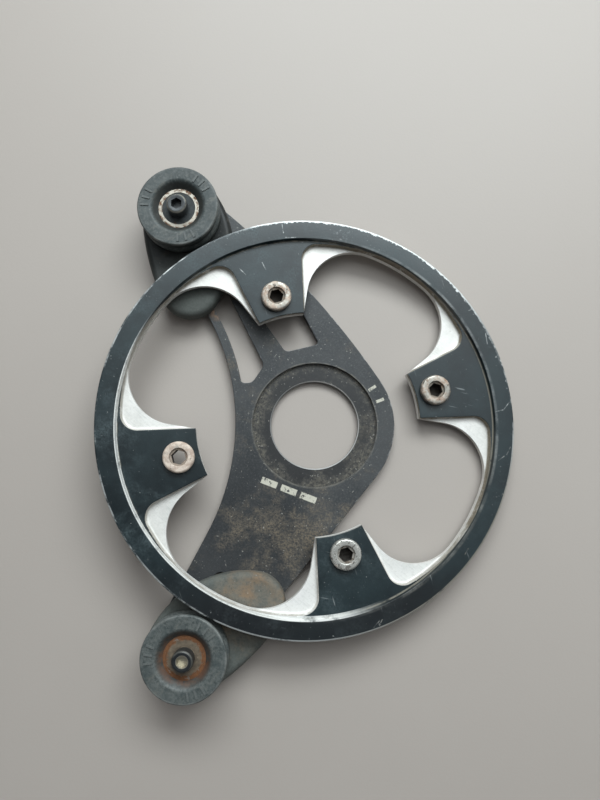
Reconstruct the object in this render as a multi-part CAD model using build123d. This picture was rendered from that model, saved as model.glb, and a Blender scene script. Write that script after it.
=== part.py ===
from build123d import *
import os
from math import acos, asin, atan2, cos, degrees, hypot, pi, radians, sin, sqrt, tan

# Two-roller chain guide for a downhill bicycle, laid flat, with its bash ring lying on it.
# Millimetres. The origin is the centre of the bottom-bracket bore, on the backplate's back face.
# +Z leaves the bicycle's frame, +Y points to the upper roller.

# Clearances
FIT = 0.02
RUNNING_FIT = 0.05
BALL_PLAY = 0.04
LAID_GAP = 0.10

# Backplate: one profile cut from alloy sheet
PLATE_T = 4.0
BORE_R = 17.7
CUP_SEAT_R = 25.2
CUP_SEAT_DEPTH = 1.5
HUB_R = 32.3
UPPER_END_R = 14.0
LOWER_END_R = 15.3
WAIST_R = 92.0
WAIST_TO_BORE = 32.1
UPPER_EDGE_R = 340.0
PLATE_EDGE = 0.4
THIN_ARM_W = 3.6
LONG_WINDOW = [(-36.0, 17.0), (-25.4, 17.2), (-20.6, 24.4), (-36.3, 55.5), (-56.0, 59.5)]
SHORT_WINDOW = [(-11.8, 29.9), (1.9, 33.2), (-8.8, 53.6), (-25.6, 49.6)]
WINDOW_CORNER = 2.0
LOWER_SLOT_W = 6.0
LOWER_SLOT_ENDS = [(-37.2, -61.3), (-42.6, -74.0)]

# Bash ring: turned disc with four tabs and ball-milled pockets between them
RING_R = 82.0
RIM_W = 7.6
RIM_T = 6.5
RIM_EDGE = 0.8
RIM_STEP_RUN = 0.5
TAB_T = 4.7
TAB_PAST_BOLT = 7.8
TAB_TIP_HALF = 9.2
TAB_FLANK_DEG = 12.5
TAB_CORNER = 6.5
LEDGE_T = 2.4
LEDGE_W = 0.45
LEDGE_FLANK_DEG = 24.0
LEDGE_CORNER = 19.0
POCKET_COVE = 1.2
POCKET_BOW = 10.0
TAB_COUNT = 4
RING_LAID_AT = (-2.4, 0.1)
RING_TURN_DEG = 15.0

# Chainring bolts: hollow, with the hex right through
BOLT_CIRCLE_D = 104.0
RING_BOLT_D = 8.0
RING_BOLT_HEAD_D = 12.0
RING_BOLT_HEAD_T = 2.6
RING_BOLT_HEAD_ROUND = 0.9
RING_BOLT_HEX = 5.0

# Guide blocks: moulded egg shapes that carry the rollers
BLOCK_H = 5.7
BLOCK_OUTER_R = 16.8
BLOCK_INNER_R = 12.2
BLOCK_SPAN = 30.2
BLOCK_FULL_SIDE_R = 41.0
BLOCK_LEAN_SIDE_R = 100.0
BLOCK_ROUND = 2.5
UPPER_BLOCK_DEG = -83.5
LOWER_BLOCK_DEG = 34.5

# Rollers
ROLLER_R = 16.0
ROLLER_W = 9.0
ROLLER_LIFT = 0.8
UPPER_ROLLER_GAP = 1.9
LOWER_ROLLER_GAP = 0.5
UPPER_ROLLER_DEG = 121.25
LOWER_ROLLER_DEG = -117.95
UPPER_ROLLER_TURN = 45.0
LOWER_ROLLER_TURN = 52.0
FLANGE_W = 2.0
GROOVE_DEPTH = 1.0
ROLLER_ROUND = 0.7
FACE_RECESS_R = 10.2
FACE_RECESS = 2.7
REAR_LIP = 1.0
RIB_GROUPS = 3
RIBS_IN_GROUP = 3
RIB_STEP_DEG = 13.0
RIB_INNER_R = 11.4
RIB_L = 3.2
RIB_W = 0.8
RIB_H = 0.3

# Sealed ball bearing
BEARING_BORE = 5.0
BEARING_OD = 16.0
BEARING_W = 5.0
BALL_D = 2.6
BALL_COUNT = 7
RACE_GROOVE = 0.4
SEAL_T = 0.5
SEAL_INSET = 0.15
SEAL_LAND = 0.45
CAGE_T = 1.2
CAGE_H = 3.3

# Axle bolts and spacers
AXLE_HEAD_D = 8.0
AXLE_HEAD_H = 5.0
AXLE_HEAD_EDGE = 0.5
AXLE_HEX = 4.0
AXLE_HEX_DEPTH = 2.8
AXLE_BACK_GAP = 0.5
SPACER_WALL = 1.6


def polar(center, radius, angle):
    """Point at an angle in radians on a circle."""
    return (center[0] + radius * cos(angle), center[1] + radius * sin(angle))


def heading(start, end):
    """Direction from one point to another, in radians."""
    return atan2(end[1] - start[1], end[0] - start[0])


def touching_center(a, reach_a, b, reach_b, side):
    """Point at reach_a from a and reach_b from b, on the left (+1) or right (-1) of a to b."""
    span = hypot(b[0] - a[0], b[1] - a[1])
    along = (reach_a**2 - reach_b**2 + span**2) / (2 * span)
    off = sqrt(reach_a**2 - along**2)
    foot = polar(a, along, heading(a, b))
    return polar(foot, side * off, heading(a, b) + pi / 2)


def turn_arc(center, radius, start, end, ccw=True):
    """Arc about a center from one point to another."""
    first = heading(center, start)
    last = heading(center, end)
    sweep = (last - first) % (2 * pi) if ccw else -((first - last) % (2 * pi))
    return ThreePointArc(start, polar(center, radius, first + sweep / 2), end)


def crossing_line(a, radius_a, b, radius_b, side):
    """Ends of the line that leaves circle a and passes to the far side of circle b."""
    span = hypot(b[0] - a[0], b[1] - a[1])
    turn = heading(a, b) + side * acos((radius_a + radius_b) / span)
    return polar(a, radius_a, turn), polar(b, -radius_b, turn)


def hex_bar(across_flats, length):
    """Hexagonal bar for a key socket."""
    return extrude(RegularPolygon(across_flats / 2, 6, major_radius=False), length)


def tube(outer_r, inner_r, length):
    """Plain tube standing on the XY plane."""
    return extrude(Circle(outer_r) - Circle(inner_r), length)


# Places and heights that follow from the sizes
BLOCK_TOP = PLATE_T + BLOCK_H
ROLLER_Z = BLOCK_TOP + ROLLER_LIFT
BEARING_Z = ROLLER_Z + ROLLER_W - FACE_RECESS - BEARING_W
CLOSEST = RING_R + ROLLER_R
UPPER_AXIS = polar(RING_LAID_AT, CLOSEST + UPPER_ROLLER_GAP, radians(UPPER_ROLLER_DEG))
LOWER_AXIS = polar(RING_LAID_AT, CLOSEST + LOWER_ROLLER_GAP, radians(LOWER_ROLLER_DEG))
HUB = (0.0, 0.0)
WAIST = (-WAIST_TO_BORE - WAIST_R, 0.0)
RIM_IN_R = RING_R - RIM_W
POCKET_R = RIM_IN_R - RIM_STEP_RUN / 2
OPEN_R = POCKET_R - LEDGE_W
TAB_TIP_R = BOLT_CIRCLE_D / 2 - TAB_PAST_BOLT
BALL_PITCH_R = (BEARING_BORE + BEARING_OD) / 4
INNER_LAND_R = BALL_PITCH_R - BALL_D / 2 + RACE_GROOVE
OUTER_LAND_R = BALL_PITCH_R + BALL_D / 2 - RACE_GROOVE
SEAL_R = OUTER_LAND_R + SEAL_LAND


def plate_outline():
    """Boomerang profile: hub, two round ends, a hollow side, one bowed and one straight edge."""
    bow = touching_center(HUB, UPPER_EDGE_R - HUB_R, UPPER_AXIS, UPPER_EDGE_R - UPPER_END_R, 1)
    hub_top = polar(bow, UPPER_EDGE_R, heading(bow, HUB))
    end_top = polar(bow, UPPER_EDGE_R, heading(bow, UPPER_AXIS))
    waist_top, upper_left = crossing_line(WAIST, WAIST_R, UPPER_AXIS, UPPER_END_R, -1)
    waist_low, lower_left = crossing_line(WAIST, WAIST_R, LOWER_AXIS, LOWER_END_R, 1)
    taper = asin((HUB_R - LOWER_END_R) / hypot(*LOWER_AXIS))
    square = heading(LOWER_AXIS, HUB) - taper - pi / 2
    lower_right = polar(LOWER_AXIS, LOWER_END_R, square)
    hub_low = polar(HUB, HUB_R, square)
    return make_face(
        turn_arc(HUB, HUB_R, hub_low, hub_top)
        + turn_arc(bow, UPPER_EDGE_R, hub_top, end_top)
        + turn_arc(UPPER_AXIS, UPPER_END_R, end_top, upper_left)
        + Line(upper_left, waist_top)
        + turn_arc(WAIST, WAIST_R, waist_top, waist_low, ccw=False)
        + Line(waist_low, lower_left)
        + turn_arc(LOWER_AXIS, LOWER_END_R, lower_left, lower_right)
        + Line(lower_right, hub_low)
    )


def backplate():
    """Alloy plate with the stepped bore, two weight windows, a slot and two tapped axle holes."""
    long_window = make_face(Polyline(*LONG_WINDOW, close=True))
    long_window -= Pos(*WAIST) * Circle(WAIST_R + THIN_ARM_W)
    short_window = make_face(Polyline(*SHORT_WINDOW, close=True))
    profile = plate_outline()
    for window in (long_window, short_window):
        profile -= fillet(window.vertices(), WINDOW_CORNER)
    slot_start, slot_end = LOWER_SLOT_ENDS
    slot_mid = [(a + b) / 2 for a, b in zip(slot_start, slot_end)]
    slot_turn = degrees(heading(slot_start, slot_end))
    slot_span = hypot(slot_end[0] - slot_start[0], slot_end[1] - slot_start[1])
    profile -= Pos(*slot_mid) * Rot(0, 0, slot_turn) * SlotCenterToCenter(slot_span, LOWER_SLOT_W)
    plate = extrude(profile, PLATE_T)
    plate = chamfer(plate.edges().group_by(Axis.Z)[-1], PLATE_EDGE)
    plate -= extrude(Circle(BORE_R), PLATE_T)
    plate -= Pos(0, 0, PLATE_T - CUP_SEAT_DEPTH) * extrude(Circle(CUP_SEAT_R), CUP_SEAT_DEPTH)
    bore_rim = plate.edges().filter_by(GeomType.CIRCLE).filter_by(
        lambda edge: abs(edge.radius - BORE_R) < FIT).sort_by(Axis.Z)[-1]
    plate = chamfer(bore_rim, PLATE_EDGE)
    for axis in (UPPER_AXIS, LOWER_AXIS):
        plate -= Pos(*axis) * extrude(Circle(BEARING_BORE / 2 + FIT), PLATE_T)
    return plate


def block_flank(side):
    """Center and radius of a block's flank: the full one on the left (+1), the lean one on the right."""
    radius = BLOCK_FULL_SIDE_R if side > 0 else BLOCK_LEAN_SIDE_R
    center = touching_center(
        (0.0, 0.0), radius - BLOCK_OUTER_R, (BLOCK_SPAN, 0.0), radius - BLOCK_INNER_R, -side)
    return center, radius


def block_outline():
    """Egg outline along +X: big end about the roller axis, small end at the span."""
    big = (0.0, 0.0)
    small = (BLOCK_SPAN, 0.0)
    left, left_r = block_flank(1)
    right, right_r = block_flank(-1)
    left_big = polar(left, left_r, heading(left, big))
    left_small = polar(left, left_r, heading(left, small))
    right_big = polar(right, right_r, heading(right, big))
    right_small = polar(right, right_r, heading(right, small))
    return make_face(
        turn_arc(small, BLOCK_INNER_R, right_small, left_small)
        + turn_arc(left, left_r, left_small, left_big)
        + turn_arc(big, BLOCK_OUTER_R, left_big, right_big)
        + turn_arc(right, right_r, right_big, right_small)
    )


def block_reach(axis, turn_deg, toward):
    """Point of a block's flat top that lies furthest in a direction, given in radians."""
    local = toward - radians(turn_deg)
    side = 1 if sin(local) > 0 else -1
    big = (0.0, 0.0)
    small = (BLOCK_SPAN, 0.0)
    flank, flank_r = block_flank(side)
    lean = cos(local)
    if lean > cos(heading(flank, small)):
        best = polar(small, BLOCK_INNER_R - BLOCK_ROUND, local)
    elif lean < cos(heading(flank, big)):
        best = polar(big, BLOCK_OUTER_R - BLOCK_ROUND, local)
    else:
        best = polar(flank, flank_r - BLOCK_ROUND, local)
    return polar(axis, hypot(*best), heading(big, best) + radians(turn_deg))


def guide_block(axis, turn_deg):
    """Moulded block on the plate, with the axle bolt's clearance hole."""
    block = extrude(block_outline(), BLOCK_H)
    block = fillet(block.edges().group_by(Axis.Z)[-1], BLOCK_ROUND)
    block -= extrude(Circle(BEARING_BORE / 2 + RUNNING_FIT), BLOCK_H)
    return Pos(*axis, PLATE_T) * Rot(0, 0, turn_deg) * block


def laid_plane():
    """Plane of the ring's back: on both block tops, with the rim down on the floor."""
    toward = 0.0
    for _ in range(6):
        upper = block_reach(UPPER_AXIS, UPPER_BLOCK_DEG, toward)
        lower = block_reach(LOWER_AXIS, LOWER_BLOCK_DEG, toward)
        toward = heading(lower, upper) - pi / 2
    run = (RING_LAID_AT[0] - upper[0]) * cos(toward) + (RING_LAID_AT[1] - upper[1]) * sin(toward)
    lean = asin(BLOCK_TOP / (run + RING_R))
    height = BLOCK_TOP + LAID_GAP - run * tan(lean)
    normal = (sin(lean) * cos(toward), sin(lean) * sin(toward), cos(lean))
    across = Vector(*normal).cross(Vector(-sin(radians(RING_TURN_DEG)), cos(radians(RING_TURN_DEG)), 0))
    return Plane((*RING_LAID_AT, height), x_dir=-across, z_dir=normal)


def tab_wedges(flank_deg):
    """Four wedges that widen outwards from the tab tips by the flank angle."""
    slope = tan(radians(flank_deg))
    tip = sqrt(TAB_TIP_R**2 - TAB_TIP_HALF**2)
    start = tip - TAB_TIP_HALF / 2
    start_half = TAB_TIP_HALF - slope * (tip - start)
    end_half = TAB_TIP_HALF + slope * (RING_R - tip)
    wedge = make_face(Polyline(
        (start, -start_half), (RING_R, -end_half), (RING_R, end_half), (start, start_half), close=True))
    return [Rot(0, 0, 360 * i / TAB_COUNT) * wedge for i in range(TAB_COUNT)]


def between_tabs(radius, bow, flank_deg, corner):
    """Area that the tabs leave open: round corners, and outer arcs that the bow draws in at their ends."""
    far = 2 * RING_R
    spread = far * tan(pi / TAB_COUNT)
    sector = make_face(Polyline((0, 0), (far, -spread), (far, spread), close=True))
    window = sector & Pos(bow, 0) * Rot(0, 0, 180) * Circle(radius - bow)
    area = Circle(TAB_TIP_R)
    for place in PolarLocations(0, TAB_COUNT, start_angle=180 / TAB_COUNT):
        area += place * window
    for wedge in tab_wedges(flank_deg):
        area -= wedge
    area += Circle(TAB_TIP_R)
    corners = area.vertices().filter_by(lambda v: hypot(v.X, v.Y) > (TAB_TIP_R + radius) / 2)
    return fillet(corners, corner)


def bash_ring():
    """Ring in its own frame, back face on the XY plane: rim, tabs, pockets and the opening."""
    section = make_face(Polyline(
        (0, 0), (RING_R - RIM_EDGE, 0), (RING_R, RIM_EDGE), (RING_R, RIM_T - RIM_EDGE),
        (RING_R - RIM_EDGE, RIM_T), (RIM_IN_R, RIM_T), (RIM_IN_R - RIM_STEP_RUN, TAB_T), (0, TAB_T),
        close=True))
    ring = revolve(Plane.XZ * section, Axis.Z)
    pocket = extrude(between_tabs(POCKET_R, POCKET_BOW, TAB_FLANK_DEG, TAB_CORNER), RIM_T)
    floor_edges = pocket.edges().group_by(Axis.Z)[0].filter_by(
        lambda edge: abs(hypot(edge.center().X, edge.center().Y) - TAB_TIP_R) > FIT)
    pocket = fillet(floor_edges, POCKET_COVE)
    ring -= Pos(0, 0, LEDGE_T) * pocket
    ring -= extrude(between_tabs(OPEN_R, 0.0, LEDGE_FLANK_DEG, LEDGE_CORNER), RIM_T)
    for place in PolarLocations(BOLT_CIRCLE_D / 2, TAB_COUNT):
        ring -= place * extrude(Circle(RING_BOLT_D / 2 + FIT), RIM_T)
    return ring


def chainring_bolt():
    """Hollow bolt, head down to the shank's end, with the head's seat at z = 0."""
    head = extrude(Circle(RING_BOLT_HEAD_D / 2), RING_BOLT_HEAD_T)
    head = fillet(head.edges().group_by(Axis.Z)[-1], RING_BOLT_HEAD_ROUND)
    bolt = head + Pos(0, 0, -TAB_T) * extrude(Circle(RING_BOLT_D / 2), TAB_T)
    return bolt - Pos(0, 0, -TAB_T) * hex_bar(RING_BOLT_HEX, TAB_T + RING_BOLT_HEAD_T)


def roller():
    """Polyurethane drum with a shallow chain groove, bearing pocket and ribs on its face."""
    pocket_z = ROLLER_W - FACE_RECESS - BEARING_W
    pocket_r = BEARING_OD / 2 + FIT
    groove_r = ROLLER_R - GROOVE_DEPTH
    section = make_face(Polyline(
        (pocket_r - REAR_LIP, 0), (ROLLER_R, 0), (ROLLER_R, FLANGE_W),
        (groove_r, FLANGE_W + GROOVE_DEPTH), (groove_r, ROLLER_W - FLANGE_W - GROOVE_DEPTH),
        (ROLLER_R, ROLLER_W - FLANGE_W), (ROLLER_R, ROLLER_W), (FACE_RECESS_R, ROLLER_W),
        (pocket_r, pocket_z + BEARING_W), (pocket_r, pocket_z), (pocket_r - REAR_LIP, pocket_z),
        close=True))
    drum = revolve(Plane.XZ * section, Axis.Z)
    rims = drum.edges().filter_by(GeomType.CIRCLE).filter_by(
        lambda edge: abs(edge.radius - ROLLER_R) < FIT).sort_by(Axis.Z)
    drum = fillet([rims[0], rims[-1]], ROLLER_ROUND)
    rib = Pos(RIB_INNER_R + RIB_L / 2, 0, ROLLER_W) * Box(RIB_L, RIB_W, 2 * RIB_H)
    for group in range(RIB_GROUPS):
        for i in range(RIBS_IN_GROUP):
            turn = 360 * group / RIB_GROUPS + RIB_STEP_DEG * (i - (RIBS_IN_GROUP - 1) / 2)
            drum += Rot(0, 0, turn) * rib
    return drum


def race_groove():
    """Ring that the balls run in, half-way up the bearing."""
    return Pos(0, 0, BEARING_W / 2) * Torus(BALL_PITCH_R, BALL_D / 2 + BALL_PLAY)


def inner_race():
    """Grooved inner ring of the bearing."""
    return tube(INNER_LAND_R, BEARING_BORE / 2 + FIT, BEARING_W) - race_groove()


def outer_race():
    """Grooved outer ring with a step for the seal at each end."""
    race = tube(BEARING_OD / 2, OUTER_LAND_R, BEARING_W) - race_groove()
    step = extrude(Circle(SEAL_R + FIT), SEAL_T + SEAL_INSET)
    return race - step - Pos(0, 0, BEARING_W - SEAL_T - SEAL_INSET) * step


def seal(z):
    """Rubber disc in the outer race's step, just clear of the inner race."""
    return Pos(0, 0, z) * tube(SEAL_R, INNER_LAND_R + RUNNING_FIT, SEAL_T)


def ball_places():
    """Locations of the balls, half-way up the bearing."""
    return [Pos(0, 0, BEARING_W / 2) * place for place in PolarLocations(BALL_PITCH_R, BALL_COUNT)]


def balls():
    """Seven separate balls."""
    return [place * Sphere(BALL_D / 2) for place in ball_places()]


def cage():
    """Ring that spaces the balls, with a round pocket for each."""
    ring = Pos(0, 0, (BEARING_W - CAGE_H) / 2) * tube(
        BALL_PITCH_R + CAGE_T / 2, BALL_PITCH_R - CAGE_T / 2, CAGE_H)
    for place in ball_places():
        ring -= place * Rot(0, 90, 0) * Cylinder(BALL_D / 2 + BALL_PLAY, 2 * CAGE_T)
    return ring


def axle_bolt():
    """Cap-head bolt from the bearing down into the plate, in the part's heights."""
    seat = BEARING_Z + BEARING_W
    head = extrude(Circle(AXLE_HEAD_D / 2), AXLE_HEAD_H)
    head = chamfer(head.edges().group_by(Axis.Z)[-1], AXLE_HEAD_EDGE)
    head -= Pos(0, 0, AXLE_HEAD_H - AXLE_HEX_DEPTH) * hex_bar(AXLE_HEX, AXLE_HEX_DEPTH)
    shank = Pos(0, 0, AXLE_BACK_GAP) * extrude(Circle(BEARING_BORE / 2), seat - AXLE_BACK_GAP)
    return Pos(0, 0, seat) * head + shank


def spacer():
    """Sleeve between the block's top and the inner race."""
    bore = BEARING_BORE / 2 + RUNNING_FIT
    return Pos(0, 0, BLOCK_TOP) * tube(bore + SPACER_WALL, bore, BEARING_Z - BLOCK_TOP)


def save(name, shape):
    """Write one named piece."""
    export_step(shape, os.path.join("parts", name + ".step"))


os.makedirs("parts", exist_ok=True)
save("backplate", backplate())

laid = laid_plane()
save("bash_ring", laid * bash_ring())
bolts = [place * Pos(0, 0, TAB_T) * chainring_bolt()
         for place in PolarLocations(BOLT_CIRCLE_D / 2, TAB_COUNT)]
save("chainring_bolts", Compound(children=[laid * bolt for bolt in bolts]))

for side, axis, block_deg, roller_turn in (
        ("upper", UPPER_AXIS, UPPER_BLOCK_DEG, UPPER_ROLLER_TURN),
        ("lower", LOWER_AXIS, LOWER_BLOCK_DEG, LOWER_ROLLER_TURN)):
    at_axis = Pos(*axis, 0)
    at_bearing = Pos(*axis, BEARING_Z)
    save(side + "_block", guide_block(axis, block_deg))
    save(side + "_axle_bolt", at_axis * axle_bolt())
    save(side + "_spacer", at_axis * spacer())
    save(side + "_roller", Pos(*axis, ROLLER_Z) * Rot(0, 0, roller_turn) * roller())
    save(side + "_inner_race", at_bearing * inner_race())
    save(side + "_outer_race", at_bearing * outer_race())
    save(side + "_rear_seal", at_bearing * seal(SEAL_INSET))
    save(side + "_front_seal", at_bearing * seal(BEARING_W - SEAL_INSET - SEAL_T))
    save(side + "_balls", Compound(children=[at_bearing * ball for ball in balls()]))
    save(side + "_cage", at_bearing * cage())
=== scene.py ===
import bmesh
import bpy
from math import pi, radians
from mathutils import Euler, Matrix, Vector


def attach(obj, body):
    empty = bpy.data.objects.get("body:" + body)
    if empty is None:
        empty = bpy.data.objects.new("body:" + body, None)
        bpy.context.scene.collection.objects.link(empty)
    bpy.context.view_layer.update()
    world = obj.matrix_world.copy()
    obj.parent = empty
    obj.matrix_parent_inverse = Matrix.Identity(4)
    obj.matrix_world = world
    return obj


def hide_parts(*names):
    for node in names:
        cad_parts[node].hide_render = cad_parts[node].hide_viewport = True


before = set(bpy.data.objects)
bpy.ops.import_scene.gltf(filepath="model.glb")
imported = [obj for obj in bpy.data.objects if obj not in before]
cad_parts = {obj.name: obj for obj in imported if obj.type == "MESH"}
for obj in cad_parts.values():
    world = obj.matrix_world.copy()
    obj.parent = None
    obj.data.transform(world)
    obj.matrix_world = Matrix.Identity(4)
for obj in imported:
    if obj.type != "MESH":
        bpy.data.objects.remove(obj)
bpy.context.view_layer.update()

# Backplate. One boomerang profile cut from 4 mm alloy sheet, with the step round the bore turned
# and the whole plate anodised black. A bottom-bracket cup clamps it to the bicycle, with the cup's
# flange in the step. Handling has worn its edges bright, and trail dust lies on the lower arm.
plate_t = 4
plate_chamfer = 0.4
seat_floor = 2.5
seat_r = 25.2
bore_r = 17.7
axle_pass_r = 2.52
hub_axis = (0, 0)
upper_axis = (-54.225, 85.506)
lower_axis = (-48.567, -86.911)
hub_corner = (25.092, -20.34)
flank_center = (-256.234, -170.362)
waist_center = (-124.1, 0)
upper_inside = (-48.253, 52.069)
lower_inside = (-62.109, -79.791)
long_window = ((-30.03, 17.06), (-36.3, 55.5), (-20.6, 24.4), (-25.4, 17.2))
short_window = ((-11.8, 29.9), (1.9, 33.2), (-8.8, 53.6), (-25.6, 49.6))
window_round = 1.7
slot_sides = ((-39.961, -60.126), (-39.839, -75.174))
slot_ends = ((-37.2, -61.3), (-42.6, -74))
paint_dashes = ((-18.2, -23.2, -20.9, 6.6, 2.6), (-10.4, -26.2, -20.9, 6.6, 2.6),
                (-2.6, -29.2, -20.9, 6.6, 2.6), (23.5, 14.9, 34, 3.4, 1.2),
                (26.6, 9.9, 21, 3.4, 1.2))
plate_black = (0.034, 0.037, 0.04)
plate_grey = (0.06, 0.062, 0.064)
plate_speck = (0.082, 0.085, 0.087)
arm_painted_shade = (0.017, 0.018, 0.02)
step_black = (0.024, 0.023, 0.023)
trail_dust = (0.2, 0.158, 0.112)
caked_dirt = (0.175, 0.158, 0.13)
lip_dust = (0.225, 0.21, 0.18)
plate_grit = (0.4, 0.38, 0.34)
plate_scuff = (0.26, 0.26, 0.26)
window_rust = (0.27, 0.165, 0.1)
dash_paint = (0.6, 0.57, 0.48)
bare_plate = (0.68, 0.675, 0.66)


def verts_in(geom):
    """Corners among what an operator returns."""
    return [g for g in geom if isinstance(g, bmesh.types.BMVert)]


def edges_in(geom):
    """Edges among what an operator returns."""
    return [g for g in geom if isinstance(g, bmesh.types.BMEdge)]


def edges_at(verts):
    """Edges that meet at these corners, each once."""
    return list(dict.fromkeys(e for v in verts for e in v.link_edges))


def corner_at(bm, x, y, z=0):
    """First corner of an outline, in millimetres."""
    return bmesh.ops.create_vert(bm, co=(x, y, z))["vert"][0]


def line_to(bm, tip, x, y):
    """Carries an outline on to a point in a straight line."""
    new = bmesh.ops.extrude_vert_indiv(bm, verts=[tip])["verts"][0]
    new.co = (x, y, tip.co.z)
    return new


def arc_on(bm, tip, center, turn, steps):
    """Carries an outline on round a center, by an angle in degrees."""
    swept = bmesh.ops.spin(bm, geom=[tip], cent=(*center, tip.co.z), axis=(0, 0, 1),
                           angle=radians(turn), steps=steps)
    return verts_in(swept["geom_last"])[0]


def round_corners(bm, corners, reach, steps):
    """Rounds an outline's corners, each from the same distance on both sides."""
    bmesh.ops.bevel(bm, geom=corners, offset=reach, segments=steps, profile=0.5, affect="VERTICES",
                    material=-1)


def section_line(bm, profile):
    """Draws half a turned section as a line of radius and height pairs."""
    line = [corner_at(bm, profile[0][0], 0, profile[0][1])]
    for r, z in profile[1:]:
        new = bmesh.ops.extrude_vert_indiv(bm, verts=[line[-1]])["verts"][0]
        new.co = (r, 0, z)
        line.append(new)
    return line


def rim_at(bm, radius, z):
    """Open round rim of a skin."""
    return [e for e in bm.edges if e.is_boundary
            and all(abs(v.co.z - z) < 0.01 and abs(v.co.xy.length - radius) < 0.02 for v in e.verts)]


def sharp_edges(bm, limit):
    """Edges between faces that meet at more than an angle in degrees."""
    return [e for e in bm.edges if e.is_manifold and e.calc_face_angle(0) > radians(limit)]


def ease(bm, edges, width, steps):
    """Rounds edges and returns the narrow faces that this makes."""
    return bmesh.ops.bevel(bm, geom=edges, offset=width, segments=steps, profile=0.5, affect="EDGES",
                           material=-1)["faces"]


def set_in_place(name, bm, finishes, body, cad_node):
    """Makes a piece of a mesh in millimetres, rides it on its body and lets it stand for its node."""
    bmesh.ops.scale(bm, vec=(0.001, 0.001, 0.001), verts=bm.verts)
    mesh = bpy.data.meshes.new(name)
    bm.to_mesh(mesh)
    bm.free()
    for finish in finishes:
        mesh.materials.append(finish)
    mesh.shade_smooth()
    mesh.set_sharp_from_angle(angle=radians(35))
    piece = bpy.data.objects.new(name, mesh)
    bpy.context.scene.collection.objects.link(piece)
    piece.modifiers.new("even_shading", "WEIGHTED_NORMAL").keep_sharp = True
    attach(piece, body)
    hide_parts(cad_node)


def new_finish(name):
    """An empty finish: its material, its shader and the point in the part's frame."""
    mat = bpy.data.materials.new(name)
    mat.use_nodes = True
    shader = mat.node_tree.nodes["Principled BSDF"]
    spot = mat.node_tree.nodes.new("ShaderNodeTexCoord").outputs["Object"]
    return mat, shader, spot


def node(kind, inputs, **settings):
    """Adds a shader node to the tree of the sockets that feed it; its other inputs are values."""
    tree = next(v.id_data for v in inputs.values() if isinstance(v, bpy.types.NodeSocket))
    made = tree.nodes.new("ShaderNode" + kind)
    for key, value in settings.items():
        setattr(made, key, value)
    for key, value in inputs.items():
        if isinstance(value, bpy.types.NodeSocket):
            tree.links.new(value, made.inputs[key])
        else:
            made.inputs[key].default_value = value
    return made


def split(point):
    """X, Y and Z of a point."""
    return node("SeparateXYZ", {0: point}).outputs


def calc(operation, a, b=0):
    """One sum on two values."""
    return node("Math", {0: a, 1: b}, operation=operation).outputs[0]


def both(a, b):
    """Product: where two masks meet, or one mask at part strength."""
    return calc("MULTIPLY", a, b)


def either(a, b):
    """The larger of two masks."""
    return calc("MAXIMUM", a, b)


def plus(a, b):
    """Two values added."""
    return calc("ADD", a, b)


def minus(a, b):
    """One value less another."""
    return calc("SUBTRACT", a, b)


def ramp(value, gain, base):
    """A value times a gain, on top of a base."""
    return plus(both(value, gain), base)


def fade(value, low, high):
    """Smooth 0 to 1 as a value goes from low to high."""
    inputs = {"Value": value, "From Min": low, "From Max": high}
    return node("MapRange", inputs, interpolation_type="SMOOTHSTEP").outputs["Result"]


def fade_mm(length, low, high):
    """Smooth 0 to 1 as a length goes from low to high, both in millimetres."""
    return fade(length, low / 1000, high / 1000)


def grain(spot, scale, detail=5, rough=0.6):
    """Cloudy noise, with scale in spots a metre."""
    inputs = {"Vector": spot, "Scale": scale, "Detail": detail, "Roughness": rough}
    return node("TexNoise", inputs).outputs["Fac"]


def blots(spot, scale, detail, rough, low, high):
    """Mask of cloudy blots, where the noise goes from low to high."""
    return fade(grain(spot, scale, detail, rough), low, high)


def stretched(spot, turn, sizes):
    """Point turned about Z and stretched, for scratches and tool marks."""
    turned = node("Mapping", {"Vector": spot, "Rotation": (0, 0, radians(turn))}).outputs[0]
    return node("Mapping", {"Vector": turned, "Scale": sizes}).outputs[0]


def layer(mask, under, over, strength=1):
    """One colour laid over another where the mask is 1, in full or at part strength."""
    if strength != 1:
        mask = both(mask, strength)
    under, over = (c if isinstance(c, bpy.types.NodeSocket) else (*c, 1) for c in (under, over))
    return node("Mix", {0: mask, 6: under, 7: over}, data_type="RGBA").outputs[2]


def amount(mask, under, over):
    """One number laid over another where the mask is 1."""
    return node("Mix", {0: mask, 2: under, 3: over}).outputs[0]


def finish_with(mat, shader, colour, rough, height, depth, metal=None):
    """Wires colour, roughness, surface height and metalness to a finish's shader."""
    links = mat.node_tree.links
    links.new(colour, shader.inputs["Base Color"])
    links.new(rough, shader.inputs["Roughness"])
    relief = node("Bump", {"Height": height, "Strength": 1, "Distance": depth})
    links.new(relief.outputs[0], shader.inputs["Normal"])
    if metal is not None:
        links.new(metal, shader.inputs["Metallic"])
    return mat


def from_axis(spot, center):
    """Distance in metres from an upright axis, whose place is in millimetres."""
    flat = node("VectorMath", {0: spot, 1: (1, 1, 0)}, operation="MULTIPLY").outputs[0]
    away = node("VectorMath", {0: flat, 1: (center[0] / 1000, center[1] / 1000, 0)},
                operation="SUBTRACT").outputs[0]
    return node("VectorMath", {0: away}, operation="LENGTH").outputs["Value"]


def patch(spot, center, edge, core):
    """Mask of a round patch, 0 past its edge and 1 in its core, in millimetres."""
    return fade_mm(from_axis(spot, center), edge, core)


def dash(spot, x, y, turn, length, width):
    """Mask of a short straight dash, in millimetres and degrees."""
    place = {"Vector": spot, "Location": (x / 1000, y / 1000, 0), "Rotation": (0, 0, radians(turn))}
    at = split(node("Mapping", place, vector_type="TEXTURE").outputs[0])
    along = minus(calc("ABSOLUTE", at[0]), length / 2000)
    across = minus(calc("ABSOLUTE", at[1]), width / 2000)
    return fade_mm(either(along, across), 0.1, -0.1)


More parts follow.
